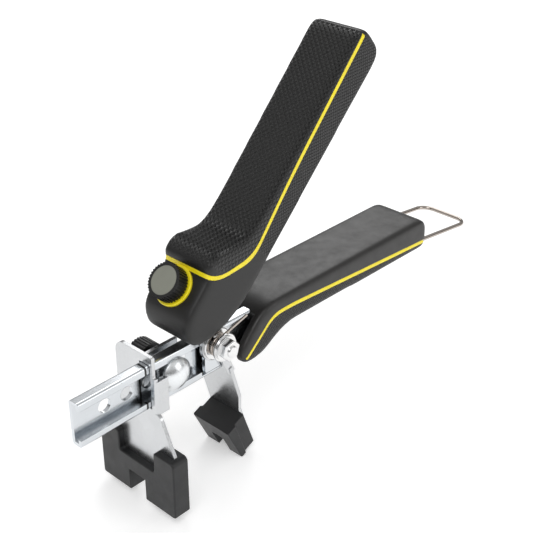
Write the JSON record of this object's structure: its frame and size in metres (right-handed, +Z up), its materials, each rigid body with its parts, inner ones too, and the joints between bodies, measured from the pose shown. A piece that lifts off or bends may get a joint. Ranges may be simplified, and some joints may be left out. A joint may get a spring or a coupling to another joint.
{
  "type": "tile levelling pliers",
  "caption": "Hand pliers for tile levelling clips: fixed handle on a C-channel rail, adjustable front jaw, squeezing handle with rear jaw, limit screw, return spring and wire locking loop.",
  "frame": {"origin": "centre of the outermost index hole in the rail's web, the hole the tool hangs by", "axes": "+X along the rail from its tip towards the handles, +Z up from the jaw feet towards the upper handle, -Y the side of the rail's open channel, the spring and the pivot nut"},
  "size_m": [0.2963, 0.055, 0.2168],
  "materials": {
    "zinc_steel": "bright zinc plate",
    "satin_steel": "satin",
    "bright_hardware": "polished",
    "spring_wire": "drawn wire",
    "black_smooth": "smooth matte",
    "black_grip": "fine moulded texture",
    "black_shoe": "fine grain",
    "black_knob": "knurled",
    "grey_cap": "fine grain",
    "yellow_plastic": "semi-gloss",
    "brass": "turned"
  },
  "bodies": {
    "lower_lever": {"rail": "zinc_steel", "pivot_cheek": "zinc_steel", "pivot_sleeve": "zinc_steel", "pivot_washers": "bright_hardware", "pivot_nut": "bright_hardware", "pivot_bolt": "bright_hardware", "return_spring": "spring_wire", "lower_top_shell": "black_smooth", "lower_stripe": "yellow_plastic", "lower_grip": "black_grip"},
    "upper_lever": {"upper_frame": "satin_steel", "upper_end_cap": "black_smooth", "upper_front_grip": "black_grip", "upper_stripe": "yellow_plastic", "upper_head": "black_smooth", "rear_jaw_plate": "satin_steel", "rear_jaw_shoe": "black_shoe", "pivot_bushes": "brass", "knob_bezel": "yellow_plastic", "screw_insert": "brass"},
    "stop": {"stop_pad": "black_shoe"},
    "limit_knob": {"limit_screw": "bright_hardware", "limit_knob": "black_knob", "knob_cap": "grey_cap"},
    "front_jaw": {"jaw_bracket": "satin_steel", "front_jaw_shoe": "black_shoe", "guide_button": "bright_hardware"},
    "clamp_ring": {"clamp_washer": "bright_hardware"},
    "clamp_knob": {"clamp_screw": "bright_hardware", "clamp_knob": "black_knob"},
    "loop": {"locking_loop": "spring_wire"}
  },
  "joints": [
    {"name": "squeeze", "type": "hinge", "parent": "lower_lever", "child": "upper_lever", "pos_m": [0.0654, 0, 0.0066], "axis": [0, 1, 0], "range_deg": [0, 28], "stiffness_Nm_per_rad": 0.6, "springref_deg": -34.38, "deforming": ["return_spring"]},
    {"name": "limit_travel", "type": "slide", "parent": "upper_lever", "child": "stop", "axis": [-0.7373, 0, 0.6756], "range_m": [-0.0005, 0.0025]},
    {"name": "limit_turn", "type": "hinge", "parent": "stop", "child": "limit_knob", "pos_m": [0.04899, 0.0038, 0.04198], "axis": [-0.7373, 0, 0.6756], "range_deg": [-144, 720]},
    {"name": "jaw_slide", "type": "slide", "parent": "lower_lever", "child": "front_jaw", "axis": [1, 0, 0], "range_m": [-0.0266, 0]},
    {"name": "clamp_travel", "type": "slide", "parent": "front_jaw", "child": "clamp_ring", "axis": [0, 1, 0], "range_m": [0, 0.0012]},
    {"name": "clamp_turn", "type": "hinge", "parent": "clamp_ring", "child": "clamp_knob", "pos_m": [0.0399, 0.0168, 0], "axis": [0, 1, 0], "range_deg": [0, 432]},
    {"name": "loop_swing", "type": "hinge", "parent": "lower_lever", "child": "loop", "pos_m": [0.2259, 0.0038, 0.0031], "axis": [0, -1, 0], "range_deg": [0, 95]}
  ],
  "couplings": [
    {"joint": "limit_turn", "follows": "limit_travel", "rad_per_m": 5026.5},
    {"joint": "clamp_turn", "follows": "clamp_travel", "rad_per_m": 6283.1}
  ]
}
